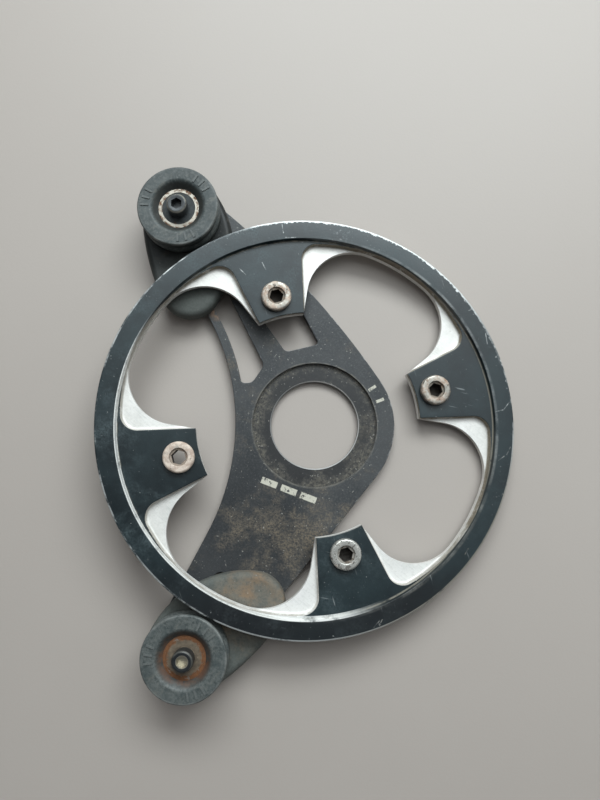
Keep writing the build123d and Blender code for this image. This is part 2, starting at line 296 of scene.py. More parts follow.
def scuffs(spot, turn, scale):
    """Mask of short fine scratches that run one way, in a few places."""
    fine = grain(stretched(spot, turn, (0.1, 1, 1)), scale, 2, 0.5)
    places = fade(grain(spot, 55, 3), 0.5, 0.66)
    return both(fade(fine, 0.68, 0.76), places)


# The outline is drawn from the hub round the upper arm, along the waist and round the lower arm.
plate = bmesh.new()
start = corner_at(plate, *hub_corner)
tip = arc_on(plate, start, hub_axis, 72.65, 36)
tip = arc_on(plate, tip, flank_center, 18.09, 18)
tip = arc_on(plate, tip, upper_axis, 162.76, 40)
tip = line_to(plate, tip, *upper_inside)
tip = arc_on(plate, tip, waist_center, -62.2, 40)
tip = line_to(plate, tip, *lower_inside)
tip = arc_on(plate, tip, lower_axis, 168.7, 40)
plate.edges.new((tip, start))

# Two windows in the upper arm, a slot by the lower block and a hole for each axle bolt.
start = corner_at(plate, *long_window[0])
tip = arc_on(plate, start, waist_center, 26.98, 24)
corners = [start, tip]
for point in long_window[1:]:
    tip = line_to(plate, tip, *point)
    corners.append(tip)
plate.edges.new((tip, start))
start = corner_at(plate, *short_window[0])
tip = start
corners.append(start)
for point in short_window[1:]:
    tip = line_to(plate, tip, *point)
    corners.append(tip)
plate.edges.new((tip, start))
round_corners(plate, corners, window_round, 5)
start = corner_at(plate, *slot_sides[0])
tip = arc_on(plate, start, slot_ends[0], -180, 12)
tip = line_to(plate, tip, *slot_sides[1])
tip = arc_on(plate, tip, slot_ends[1], -180, 12)
plate.edges.new((tip, start))
for center in (upper_axis, lower_axis):
    bmesh.ops.create_circle(plate, segments=24, radius=axle_pass_r,
                            matrix=Matrix.Translation((*center, 0)))

# Walls stand on the drawing, the bore is turned with its step, and both faces are filled in.
low_edges = list(plate.edges)
walls = bmesh.ops.extrude_edge_only(plate, edges=low_edges)["geom"]
high_edges = edges_in(walls)
bmesh.ops.translate(plate, vec=(0, 0, plate_t), verts=verts_in(walls))
bore_line = section_line(plate, [(seat_r, plate_t), (seat_r, seat_floor),
                                 (bore_r + plate_chamfer, seat_floor),
                                 (bore_r, seat_floor - plate_chamfer), (bore_r, 0)])
bmesh.ops.spin(plate, geom=bore_line + edges_at(bore_line), cent=(0, 0, 0), axis=(0, 0, 1),
               angle=2 * pi, steps=120, use_merge=True)
for level, radius, outline in ((0, bore_r, low_edges), (plate_t, seat_r, high_edges)):
    bmesh.ops.triangle_fill(plate, edges=outline + rim_at(plate, radius, level), use_beauty=True)
bmesh.ops.remove_doubles(plate, verts=plate.verts, dist=0.001)
bmesh.ops.recalc_face_normals(plate, faces=plate.faces)
bmesh.ops.dissolve_limit(plate, angle_limit=radians(0.5), verts=plate.verts, edges=plate.edges)
top_rim = [e for e in sharp_edges(plate, 60)
           if all(v.co.z > plate_t - 0.01 for v in e.verts)
           and min(v.co.xy.length for v in e.verts) > seat_r + 0.5]
for face in ease(plate, top_rim, plate_chamfer, 2):
    face.material_index = 1


def plate_finish(name, edge):
    """Black anodised sheet with dust, grit, scuffs and paint dashes, and edges worn bare."""
    mat, shader, spot = new_finish(name)
    x, _, z = split(spot)
    out = from_axis(spot, hub_axis)
    cloud = grain(spot, 55, 8, 0.65)
    speckle = grain(spot, 1300, 4, 0.65)
    colour = layer(fade(cloud, 0.3, 0.7), plate_black, plate_grey)
    colour = layer(fade(speckle, 0.45, 0.75), colour, plate_speck)
    rough = amount(cloud, 0.36, 0.56)
    # A darker patch on the lower arm is painted shade.
    colour = layer(patch(spot, (-30, -44), 42, 14), colour, arm_painted_shade, 0.5)
    below_hub = patch(spot, (-13, -43), 34, 4)
    dust = plus(grain(spot, 75, 9, 0.72), both(below_hub, 0.17))
    dust = both(fade(dust, 0.53, 0.78), fade(speckle, 0.3, 0.62))
    colour = layer(dust, colour, trail_dust, 0.8)
    rough = amount(dust, rough, 0.85)

    in_step = both(fade_mm(out, seat_r + 0.4, seat_r - 0.1), fade_mm(z, 3.8, 3))
    colour = layer(in_step, colour, step_black, 0.8)
    to_wall = fade_mm(out, 19, 24.5)
    caked = plus(grain(spot, 90, 6, 0.7), both(to_wall, 0.16))
    crumbs = blots(spot, 800, 5, 0.75, 0.38, 0.62)
    caked = both(both(fade(caked, 0.5, 0.72), crumbs), in_step)
    colour = layer(caked, colour, caked_dirt, 0.8)
    rough = amount(caked, rough, 0.9)
    lip = both(fade_mm(out, seat_r - 0.3, seat_r), fade_mm(out, seat_r + 0.7, seat_r + 0.2))
    lip = both(lip, blots(spot, 240, 6, 0.72, 0.36, 0.62))
    colour = layer(lip, colour, lip_dust, 0.55)

    grit = plus(grain(spot, 1100, 2, 0.5), both(caked, 0.06))
    colour = layer(fade(grit, 0.68, 0.75), colour, plate_grit, 0.6)
    marks = either(scuffs(spot, 24, 900), scuffs(spot, -52, 700))
    colour = layer(marks, colour, plate_scuff, 0.35)
    rust = blots(spot, 620, 6, 0.72, 0.36, 0.56)
    rust = both(patch(spot, (-40, 46.2), 4.2, 1.2), rust)
    colour = layer(rust, colour, window_rust, 0.85)
    paint = dash(spot, *paint_dashes[0])
    for place in paint_dashes[1:]:
        paint = either(paint, dash(spot, *place))
    paint = both(paint, blots(spot, 520, 6, 0.75, 0.6, 0.54))
    paint = both(paint, fade_mm(z, plate_t - 0.4, plate_t - 0.1))
    colour = layer(paint, colour, dash_paint)

    bare = both(fade_mm(out, 18.15, 18.05), fade_mm(z, 1.95, 2.15))
    bare = both(bare, ramp(fade_mm(x, -14, 6), 0.6, 0.4))
    if edge:
        rubbed = plus(grain(spot, 210, 7, 0.72), both(x, 1.2))
        bare = either(bare, both(fade(rubbed, 0.52, 0.7), 0.42))
    colour = layer(bare, colour, bare_plate)
    rough = amount(bare, rough, 0.4)
    along = node("CombineXYZ", {0: out}).outputs[0]
    turned = node("TexWave", {"Vector": along, "Scale": 620, "Distortion": 0.6},
                  bands_direction="X").outputs["Fac"]
    height = plus(both(speckle, 0.6), both(turned, both(in_step, 0.2)))
    height = plus(height, both(plus(dust, caked), 0.4))
    shader.inputs["Specular IOR Level"].default_value = 0.45
    return finish_with(mat, shader, colour, rough, height, 0.00006, both(bare, 0.55))


set_in_place("plate_sheet", plate,
             [plate_finish("black_plate", False), plate_finish("rubbed_plate_edge", True)],
             "base", "backplate")

# Guide blocks. Two egg-shaped mouldings of black plastic that stand on the plate and carry the
# rollers. The axle bolts clamp them. A grey film lies on both, and brown dust on the lower one; the
# film's amount on each block is also painted light and shade.
block_h = 5.7
block_round = 2.5
axle_hole_r = 2.55
egg_start = (-7.68, 14.942)
egg_arcs = (((0, 0), 151.36, 50), ((2.077, 83.174), 20.11, 24), ((30.2, 0), 119.68, 44),
            ((11.064, -21.523), 68.85, 44))
block_black = (0.006, 0.007, 0.007)
block_worn = (0.015, 0.017, 0.016)
film_and_light_grey = (0.125, 0.135, 0.124)
grey_dust = (0.178, 0.16, 0.13)
brown_dust = (0.238, 0.162, 0.102)
block_speck = (0.42, 0.4, 0.35)
block_scuff = (0.22, 0.22, 0.21)


def corners_of(parts):
    """Corners of these edges or faces, each once."""
    return list(dict.fromkeys(v for part in parts for v in part.verts))


def stand_up(bm, edges, low, high):
    """Makes a closed outline into a solid between two heights."""
    bmesh.ops.translate(bm, vec=(0, 0, low), verts=corners_of(edges))
    sole = bmesh.ops.contextual_create(bm, geom=edges)["faces"]
    lifted = bmesh.ops.extrude_face_region(bm, geom=sole, use_keep_orig=True)["geom"]
    bmesh.ops.translate(bm, vec=(0, 0, high - low), verts=verts_in(lifted))
    bmesh.ops.recalc_face_normals(bm, faces=bm.faces)


def block_finish(name, dusty_at, dust_and_shade_level, film_and_light, lift_and_light):
    """Satin plastic under a grey film that is also painted light and shade; it changes about one place,
    where dust may lie.
    """
    mat, shader, spot = new_finish(name)
    cloud = grain(spot, 80, 7, 0.65)
    speckle = grain(spot, 1200, 4, 0.65)
    colour = layer(fade(cloud, 0.3, 0.7), block_black, block_worn)
    near = patch(spot, dusty_at, 26, 6)
    # The grey film's amount doubles as painted light and shade.
    film_and_light_mask = both(ramp(near, lift_and_light, film_and_light), ramp(speckle, 0.9, 0.5))
    film_and_light_mask = both(film_and_light_mask, ramp(cloud, 0.8, 0.6))
    colour = layer(film_and_light_mask, colour, film_and_light_grey)
    dust = plus(grain(spot, 110, 9, 0.72), both(near, dust_and_shade_level))
    dust = both(fade(dust, 0.52, 0.92), fade(speckle, 0.1, 0.6))
    shade = layer(fade(grain(spot, 95, 5), 0.45, 0.65), grey_dust, brown_dust)
    colour = layer(dust, colour, shade)
    specks = blots(spot, 900, 2, 0.5, 0.72, 0.77)
    colour = layer(specks, colour, block_speck, 0.5)
    colour = layer(scuffs(spot, 64, 800), colour, block_scuff, 0.3)
    rough = amount(either(dust, film_and_light_mask), 0.46, 0.88)
    height = plus(speckle, both(cloud, 0.6))
    shader.inputs["Specular IOR Level"].default_value = 0.35
    return finish_with(mat, shader, colour, rough, height, 0.00005)


# The upper block is kept dark, with little film and dust, as painted shade; the lower block's heavy
# film is partly painted light, thinned near its dusty end.
for side, axis, turn, dusty_at, dust_and_shade_level, film_and_light, lift_and_light in (
        ("upper", upper_axis, -83.5, (-50, 49), -0.2, 0.02, 0.72),
        ("lower", lower_axis, 34.5, (-26, -70), 0.34, 0.98, -0.28)):
    egg = bmesh.new()
    tip = corner_at(egg, *egg_start)
    for center, sweep, steps in egg_arcs:
        tip = arc_on(egg, tip, center, sweep, steps)
    bmesh.ops.remove_doubles(egg, verts=egg.verts, dist=0.02)
    stand_up(egg, list(egg.edges), 0, block_h)
    ease(egg, [e for e in egg.edges if all(v.co.z > block_h - 0.01 for v in e.verts)], block_round, 8)
    flats = [f for f in egg.faces if abs(f.normal.z) > 0.999]
    rims = [(list(f.edges), f.calc_center_median().z) for f in flats]
    bmesh.ops.delete(egg, geom=flats, context="FACES_ONLY")
    bore = []
    for rim, z in rims:
        hole = bmesh.ops.create_circle(egg, segments=32, radius=axle_hole_r,
                                       matrix=Matrix.Translation((0, 0, z)))["verts"]
        hole_edges = edges_at(hole)
        bmesh.ops.triangle_fill(egg, edges=rim + hole_edges, use_beauty=True)
        bore += hole_edges
    bmesh.ops.bridge_loops(egg, edges=bore)
    bmesh.ops.recalc_face_normals(egg, faces=egg.faces)
    on_plate = Matrix.Translation((*axis, plate_t)) @ Matrix.Rotation(radians(turn), 4, "Z")
    bmesh.ops.transform(egg, verts=egg.verts, matrix=on_plate)
    plastic = block_finish(side + "_block_plastic", dusty_at, dust_and_shade_level, film_and_light, lift_and_light)
    set_in_place(side + "_egg_block", egg, [plastic], "base", side + "_block")

# Axle bolts. A cap-head screw with a 4 mm socket goes through the bearing, the spacer and the block
# into the plate. Black oxide; the lower socket is polished by its key.
shank_r = 2.5
shank_end = 0.5
head_z = 16.8
head_top = 21.8
head_r = 4
head_edge = 0.6
head_round = 0.15
fine_edge = 0.3
mouth_r = 3
mouth_drop = 0.15
socket_r = 2.309
socket_depth = 2.8
oxide_black = (0.008, 0.009, 0.01)
oxide_grey = (0.085, 0.092, 0.098)
keyed_steel = (0.66, 0.61, 0.5)


def turned_piece(profile, steps, start_turn=0):
    """Spins a profile of radius and height pairs about Z into an open or closed skin."""
    bm = bmesh.new()
    section_line(bm, profile)
    if profile[0] == profile[-1]:
        bmesh.ops.remove_doubles(bm, verts=bm.verts, dist=0.0001)
    bmesh.ops.rotate(bm, verts=bm.verts, cent=(0, 0, 0),
                     matrix=Matrix.Rotation(radians(start_turn), 3, "Z"))
    bmesh.ops.spin(bm, geom=list(bm.verts) + list(bm.edges), cent=(0, 0, 0), axis=(0, 0, 1),
                   angle=2 * pi, steps=steps, use_merge=True)
    bmesh.ops.remove_doubles(bm, verts=bm.verts, dist=0.0005)
    bmesh.ops.recalc_face_normals(bm, faces=bm.faces)
    return bm


def cut_socket(bm, rim, z, radius, depth, through):
    """Joins a rim to a hexagon and sinks it, with a floor unless it goes right through."""
    hexagon = bmesh.ops.create_circle(bm, segments=6, radius=radius,
                                      matrix=Matrix.Translation((0, 0, z)))["verts"]
    hex_edges = edges_at(hexagon)
    bmesh.ops.bridge_loops(bm, edges=rim + hex_edges)
    sunk = bmesh.ops.extrude_edge_only(bm, edges=hex_edges)["geom"]
    low = verts_in(sunk)
    bmesh.ops.translate(bm, vec=(0, 0, -depth), verts=low)
    low_rim = [e for e in edges_in(sunk) if all(v in low for v in e.verts)]
    if not through:
        bmesh.ops.contextual_create(bm, geom=low_rim)
    return low_rim


def axle_finish(name, center, greyness, shine):
    """Black oxide with a rubbed chamfer, and a socket that the key has polished."""
    mat, shader, spot = new_finish(name)
    out = from_axis(spot, center)
    cloud = grain(spot, 300, 6, 0.65)
    colour = layer(both(cloud, greyness), oxide_black, oxide_grey)
    rim = both(fade_mm(out, 3.3, 3.6), fade_mm(split(spot)[2], 21.1, 21.5))
    rubbed = both(both(rim, fade(cloud, 0.3, 0.6)), greyness * 0.5)
    bare = either(rubbed, both(fade_mm(out, 2.36, 2.28), shine))
    colour = layer(bare, colour, keyed_steel)
    rough = amount(bare, 0.38, 0.3)
    shader.inputs["Specular IOR Level"].default_value = 0.5
    return finish_with(mat, shader, colour, rough, grain(spot, 2600, 3), 0.00003, bare)


for side, axis, greyness, shine in (("upper", upper_axis, 1, 0), ("lower", lower_axis, 0.25, 0.85)):
    screw = turned_piece([(0.0001, shank_end), (shank_r - fine_edge, shank_end),
                          (shank_r, shank_end + fine_edge), (shank_r, head_z),
                          (head_r - fine_edge, head_z), (head_r, head_z + fine_edge),
                          (head_r, head_top - head_edge), (head_r - head_edge, head_top),
                          (mouth_r, head_top)], 64)
    cut_socket(screw, rim_at(screw, mouth_r, head_top), head_top - mouth_drop, socket_r, socket_depth,
               False)
    bmesh.ops.recalc_face_normals(screw, faces=screw.faces)
    head_edges = [e for e in sharp_edges(screw, 25)
                  if all(v.co.z > head_z - 0.1 and v.co.xy.length > mouth_r - 0.2 for v in e.verts)]
    ease(screw, head_edges, head_round, 2)
    bmesh.ops.translate(screw, vec=(*axis, 0), verts=screw.verts)
    set_in_place(side + "_cap_screw", screw, [axle_finish(side + "_axle_oxide", axis, greyness, shine)],
                 "base", side + "_axle_bolt")

# Rollers. Cast polyurethane drums with a shallow groove for the chain and a recess for the bearing.
# Short ribs stand on the face in three groups. Dusty slate grey, scuffed pale on the raised places,
# with a painted highlight on the flange edge, painted shade in the recess and painted light on the
# lower drum.
roller_z = 10.5
roller_w = 9
roller_r = 16
roller_round = 0.6
flange_w = 2
groove_depth = 1
groove_r = roller_r - groove_depth
groove_low = flange_w + groove_depth
lip_r = 7.02
pocket_r = 8.02
pocket_floor = 1.3
pocket_top = 6.3
rib_in_r = 11.4
rib_out_r = 14.6
rib_h = 0.3
rib_steps = 108
group_steps = rib_steps // 3
rib_places = (0, 4, group_steps - 4)
slate_dark = (0.036, 0.044, 0.044)
slate_light = (0.08, 0.092, 0.09)
roller_speck = (0.12, 0.13, 0.124)
roller_grime = (0.04, 0.054, 0.056)
tan_smear = (0.165, 0.162, 0.142)
pale_smear = (0.19, 0.196, 0.184)
flange_wear_and_highlight = (0.2, 0.205, 0.195)
recess_grime_and_shade = (0.022, 0.021, 0.018)
rust_bleed = (0.15, 0.064, 0.031)
rib_grey = (0.16, 0.168, 0.162)


def rib_faces(drum, phase):
    """Faces of the drum's flat ring that the ribs stand on."""
    found = []
    for face in drum.faces:
        middle = face.calc_center_median()
        if middle.z > roller_w - 0.01 and rib_in_r < middle.xy.length < rib_out_r:
            turn = -Vector((1, 0)).angle_signed(middle.xy) - radians(phase)
            if round(turn * rib_steps / (2 * pi)) % group_steps in rib_places:
                found.append(face)
    return found


def roller_finish(name, center, rust, painted_light_lift):
    """Dusty polyurethane with grime and smears, a recess darkened by grime and painted shade, a flange
    edge paled by wear and painted highlight, speckle paled as painted light, and rust bled from the
    bearing.
    """
    mat, shader, spot = new_finish(name)
    z = split(spot)[2]
    out = from_axis(spot, center)
    cloud = grain(spot, 130, 8, 0.68)
    speckle = grain(spot, 1100, 5, 0.68)
    colour = layer(fade(cloud, 0.3, 0.72), slate_dark, slate_light)
    # Paler speckle, raised on the lower drum, is painted light.
    colour = layer(fade(speckle, 0.42 - painted_light_lift, 0.72 - painted_light_lift), colour, roller_speck)
    grime = blots(spot, 230, 7, 0.72, 0.46, 0.64)
    colour = layer(grime, colour, roller_grime, 0.55)
    tan = grain(stretched(spot, -40, (0.45, 1, 1)), 340, 6, 0.72)
    colour = layer(fade(tan, 0.52, 0.68), colour, tan_smear, 0.55)
    smear = grain(stretched(spot, 35, (0.4, 1, 1)), 260, 6, 0.7)
    smear = fade(smear, 0.52, 0.74)
    colour = layer(smear, colour, pale_smear, 0.4)
    # The flange's top edge is paled by wear and by a painted highlight.
    worn_lit_flange = both(fade_mm(out, 14.8, 15.7), fade_mm(z, 17, 18.8))
    colour = layer(worn_lit_flange, colour, flange_wear_and_highlight, fade(cloud, 0.4, 0.7))
    # The recess is darkened by grime and by painted shade.
    grimy_shaded_recess = both(fade_mm(out, 10.6, 9.8), fade_mm(z, 19.5, 18.2))
    colour = layer(grimy_shaded_recess, colour, recess_grime_and_shade, 0.75 - rust)
    bleed = fade(grain(spot, 190, 6, 0.7), 0.62 - rust, 0.82 - rust)
    colour = layer(both(fade_mm(out, 10.8, 8.2), bleed), colour, rust_bleed, 0.7)
    colour = layer(fade_mm(z, 19.55, 19.75), colour, rib_grey, 0.5)
    rough = amount(smear, 0.52, 0.78)
    height = plus(speckle, both(smear, 0.5))
    return finish_with(mat, shader, colour, rough, height, 0.00007)


# The lower drum gets paler speckle as painted light.
for side, axis, phase, rust, painted_light_lift in (("upper", upper_axis, 45, 0, 0),
                                      ("lower", lower_axis, 52, 0.24, 0.1)):
    drum = turned_piece([(lip_r, 0), (roller_r, 0), (roller_r, flange_w), (groove_r, groove_low),
                         (groove_r, roller_w - groove_low), (roller_r, roller_w - flange_w),
                         (roller_r, roller_w), (rib_out_r, roller_w), (rib_in_r, roller_w),
                         (10.8, roller_w - 0.12), (10.2, roller_w - 0.5), (pocket_r, pocket_top),
                         (pocket_r, pocket_floor), (lip_r, pocket_floor), (lip_r, 0)],
                        rib_steps, phase - 180 / rib_steps)
    raised = bmesh.ops.extrude_discrete_faces(drum, faces=rib_faces(drum, phase))["faces"]
    bmesh.ops.translate(drum, vec=(0, 0, rib_h), verts=corners_of(raised))
    flange_edges = [e for e in sharp_edges(drum, 30)
                    if all(v.co.xy.length > roller_r - 0.05 for v in e.verts)]
    ease(drum, flange_edges, roller_round, 4)
    bmesh.ops.translate(drum, vec=(*axis, roller_z), verts=drum.verts)
    set_in_place(side + "_drum", drum, [roller_finish(side + "_polyurethane", axis, rust, painted_light_lift)],
                 side + "_wheel", side + "_roller")

# Bearings and spacers. Each roller turns on a small sealed ball bearing: two steel races, seven balls
# in a pressed cage and a rubber disc on each face. A steel sleeve holds it off the block.
# Water has got in: the upper outer race is spotted with rust, the lower one is brown all over.
steel_dark = (0.31, 0.28, 0.24)
steel_light = (0.46, 0.42, 0.36)
rust_dark = (0.05, 0.024, 0.013)
rust_light = (0.275, 0.112, 0.043)
crept_rust = (0.2, 0.09, 0.04)
no_rust = -0.12


def turning_lines(out, scale):
    """Fine rings about an axis, as a lathe tool leaves them."""
    along = node("CombineXYZ", {0: out}).outputs[0]
    return node("TexNoise", {"Vector": along, "Scale": scale, "Detail": 2}).outputs["Fac"]


def steel_finish(name, center, rust):
    """Ground steel with turning lines round its axis, and rust in spots or all over."""
    mat, shader, spot = new_finish(name)
    out = from_axis(spot, center)
    lines = turning_lines(out, 5200)
    colour = layer(lines, steel_dark, steel_light)
    rim = both(fade_mm(out, 7.1, 7.7), 0.05)
    rusty = plus(grain(spot, 520, 7, 0.7), plus(rim, rust))
    rusty = fade(rusty, 0.58, 0.72)
    shade = layer(grain(spot, 900, 5, 0.7), rust_dark, rust_light)
    colour = layer(rusty, colour, shade)
    rough = amount(rusty, 0.36, 0.88)
    height = plus(both(lines, 0.3), both(rusty, grain(spot, 2400, 4)))
    return finish_with(mat, shader, colour, rough, height, 0.00004, minus(1, rusty))


def rubber_finish(name, center, rust, dull, dusty):
    """Black rubber gone the colour of the dust on it, with rust crept in from the race."""
    mat, shader, spot = new_finish(name)
    out = from_axis(spot, center)
    cloud = grain(spot, 420, 7, 0.7)
    colour = layer(fade(cloud, 0.3, 0.7), dull, dusty)
    flecks = blots(spot, 1100, 4, 0.65, 0.6, 0.72)
    colour = layer(flecks, colour, [2 * c for c in dusty], 0.35)
    to_race = both(fade_mm(out, 5.2, 7), rust)
    crept = fade(plus(grain(spot, 520, 6, 0.7), to_race), 0.6, 0.76)
    crept = both(crept, fade_mm(out, 4.6, 6))
    colour = layer(crept, colour, crept_rust, 0.85)
    rough = amount(cloud, 0.5, 0.9)
    return finish_with(mat, shader, colour, rough, grain(spot, 2600, 3), 0.00003)


for side, axis, rust, dull, dusty in (
        ("upper", upper_axis, 0.07, (0.014, 0.016, 0.017), (0.052, 0.06, 0.062)),
        ("lower", lower_axis, 0.25, (0.085, 0.064, 0.045), (0.19, 0.145, 0.1))):
    race_steel = steel_finish(side + "_race_steel", axis, rust)
    clean_steel = steel_finish(side + "_ground_steel", axis, no_rust)
    rubber = rubber_finish(side + "_seal_rubber", axis, rust, dull, dusty)
    for piece, finish in (("inner_race", rubber), ("outer_race", race_steel), ("spacer", race_steel),
                          ("balls", clean_steel), ("cage", clean_steel), ("front_seal", rubber),
                          ("rear_seal", rubber)):
        bpy.data.objects[side + "_" + piece].material_slots[0].material = finish

# Bash ring. Turned and milled from alloy plate and anodised black; then the four pockets between the
# bolt tabs were milled bare. It isn't bolted on here: it lies on both blocks, and its far side is on
# the floor. Knocks have worn its outer edge and the step inside its rim; the step also carries a
# painted reflection at the bottom and a painted highlight along its edge on the right.
ring_place = (-2.4, 0.1, 7.751)
ring_lean = (radians(0.593), radians(5.327), radians(15))
ring_laid = Matrix.Translation(ring_place) @ Euler(ring_lean).to_matrix().to_4x4()
ring_axis = (0, 0)
ring_r = 82
rim_edge = 0.8
rim_soft = 0.23
rim_top = 6.5
tab_top = 4.7
tab_round = 0.25
ledge_top = 2.4
cove = 1.2
blank_r = 30
above = 8
tab_tip = (43.232, 9.2)
pocket_foot = (64.594, 13.936)
pocket_corner = (63.187, 20.282)
pocket_bow = (7.071, 7.071)
pocket_middle = (26, 26)
ledge_foot = (52.893, 13.501)
ledge_corner = (45.165, 30.859)
bolt_circle_r = 52
bolt_hole_r = 4.02
stroke_w = 0.3
ring_strokes = ((-12.9, 78.6, -80, 4.6), (-9.7, 74.6, 2, 4.4), (-28.7, 60.4, -45, 3.7),
                (-20.3, 63, -64, 3.6), (74.2, 5.5, 14, 3.4), (77, 7.5, 52, 3.9),
                (74, -13.5, 35, 3.1), (77, -10.6, 61, 3.6), (63.7, 46.7, 23, 2.3),
                (69.6, 35.4, -82, 5.8), (23, -75.8, 48, 3.4), (24.6, -75.2, 62, 2.6),
                (58.6, -49.5, 58, 2.8))
ring_black = (0.005, 0.01, 0.0125)
ring_slate = (0.014, 0.026, 0.03)
ring_haze = (0.092, 0.13, 0.139)
low_rim_black = (0.01, 0.0105, 0.012)
ring_grit = (0.36, 0.37, 0.36)
ring_scuff = (0.34, 0.36, 0.36)
foot_dirt = (0.3, 0.275, 0.225)
bare_rim = (0.6, 0.61, 0.6)
stained_rim = (0.36, 0.335, 0.285)
bare_step_and_reflection = (0.88, 0.87, 0.835)
milled_dull = (0.75, 0.73, 0.69)
milled_bright = (0.91, 0.885, 0.845)
milled_clean = (0.95, 0.93, 0.9)
milled_speck = (0.5, 0.47, 0.41)
milled_spot = (0.32, 0.29, 0.24)
cutter_line = (0.46, 0.46, 0.45)
cove_brown = (0.14, 0.112, 0.078)
cove_tan = (0.35, 0.305, 0.235)


def turned_about(point, quarter):
    """Point of an outline, turned by quarter turns about the ring's axis."""
    return Matrix.Rotation(quarter * pi / 2, 2) @ Vector(point)


def opposite(point):
    """Point on the other side of a pocket's middle line."""
    return point[1], point[0]


def repeat_round(bm):
    """Repeats a shape at each quarter turn about the ring's axis."""
    shape = list(bm.verts) + list(bm.edges) + list(bm.faces)
    bmesh.ops.spin(bm, geom=shape, cent=(0, 0, 0), axis=(0, 0, 1), angle=1.5 * pi, steps=3,
                   use_duplicate=True)


def loose_object(name, bm):
    """Object with this mesh that isn't a piece."""
    mesh = bpy.data.meshes.new(name)
    bm.to_mesh(mesh)
    bm.free()
    made = bpy.data.objects.new(name, mesh)
    bpy.context.scene.collection.objects.link(made)
    return made


def cut_away(solid, tools):
    """Cuts one shape after another out of a solid and returns what is left, in a fixed order."""
    for tool in tools:
        cut = solid.modifiers.new(tool.name, "BOOLEAN")
        cut.operation = "DIFFERENCE"
        cut.solver = "EXACT"
        cut.material_mode = "INDEX"
        cut.object = tool
    left = bmesh.new()
    left.from_mesh(solid.evaluated_get(bpy.context.evaluated_depsgraph_get()).to_mesh())
    for used in [solid] + tools:
        mesh = used.data
        bpy.data.objects.remove(used)
        bpy.data.meshes.remove(mesh)
    for parts, place in ((left.verts, lambda v: v.co[:]),
                         (left.edges, lambda e: (e.verts[0].co + e.verts[1].co)[:]),
                         (left.faces, lambda f: f.calc_center_median()[:])):
        rank = {part: i for i, part in enumerate(sorted(parts, key=place))}
        parts.sort(key=rank.get)
    return left


def from_bolts(v):
    """Distance of a corner from the nearest bolt's axis."""
    return min((v.co.xy - turned_about((bolt_circle_r, 0), quarter)).length for quarter in range(4))


disc = turned_piece([(blank_r, 0), (ring_r - rim_edge, 0), (ring_r - rim_soft, rim_soft),
                     (ring_r, rim_edge), (ring_r, rim_top - rim_edge),
                     (ring_r - rim_soft, rim_top - rim_soft), (ring_r - rim_edge, rim_top),
                     (74.55, rim_top), (74.38, 6.42), (74.27, 6.15), (73.9, tab_top),
                     (blank_r, tab_top), (blank_r, 0)], 240)
pockets = bmesh.new()
start = corner_at(pockets, *tab_tip)
tip = line_to(pockets, start, *pocket_foot)
tip = arc_on(pockets, tip, pocket_corner, 90.75, 16)
tip = arc_on(pockets, tip, pocket_bow, 63.51, 64)
tip = arc_on(pockets, tip, opposite(pocket_corner), 90.75, 16)
tip = line_to(pockets, tip, *opposite(tab_tip))
tip = line_to(pockets, tip, *pocket_middle)
pockets.edges.new((tip, start))
stand_up(pockets, list(pockets.edges), ledge_top, above)
coved = [e for e in pockets.edges if all(v.co.z < ledge_top + 0.01 for v in e.verts)
         and min(v.co.xy.length for v in e.verts) > 40]
ease(pockets, coved, cove, 6)
repeat_round(pockets)
bmesh.ops.recalc_face_normals(pockets, faces=pockets.faces)
opening = bmesh.new()
tip = corner_at(opening, *tab_tip)
for quarter in range(4):
    tip = line_to(opening, tip, *turned_about(ledge_foot, quarter))
    tip = arc_on(opening, tip, turned_about(ledge_corner, quarter), 100.34, 30)
    tip = arc_on(opening, tip, ring_axis, 21.31, 24)
    tip = arc_on(opening, tip, turned_about(opposite(ledge_corner), quarter), 100.34, 30)
    tip = line_to(opening, tip, *turned_about(opposite(tab_tip), quarter))
    tip = arc_on(opening, tip, ring_axis, 24.03, 12)
bmesh.ops.remove_doubles(opening, verts=opening.verts, dist=0.02)
stand_up(opening, list(opening.edges), -1, above)
for shape in (pockets, opening):
    for face in shape.faces:
        face.material_index = 1
bolt_holes = bmesh.new()
bmesh.ops.create_cone(bolt_holes, cap_ends=True, segments=48, radius1=bolt_hole_r, radius2=bolt_hole_r,
                      depth=20, matrix=Matrix.Translation((bolt_circle_r, 0, 0)))
repeat_round(bolt_holes)
ring = cut_away(loose_object("ring_disc", disc), [loose_object("ring_pockets", pockets),
                                                  loose_object("ring_opening", opening),
                                                  loose_object("ring_bolt_holes", bolt_holes)])
bmesh.ops.remove_doubles(ring, verts=ring.verts, dist=0.03)
tab_rims = [e for e in sharp_edges(ring, 40)
            if all(abs(v.co.z - tab_top) < 0.01 and v.co.xy.length < 73 for v in e.verts)
            and max(from_bolts(v) for v in e.verts) > 4.5]
for face in ease(ring, tab_rims, tab_round, 2):
    face.material_index = 0
bmesh.ops.transform(ring, matrix=ring_laid, verts=ring.verts)


def ring_point(spot):
    """Point in the ring's own frame, with its back at height 0."""
    place = {"Vector": spot, "Location": [c / 1000 for c in ring_place], "Rotation": ring_lean}
    return node("Mapping", place, vector_type="TEXTURE").outputs[0]


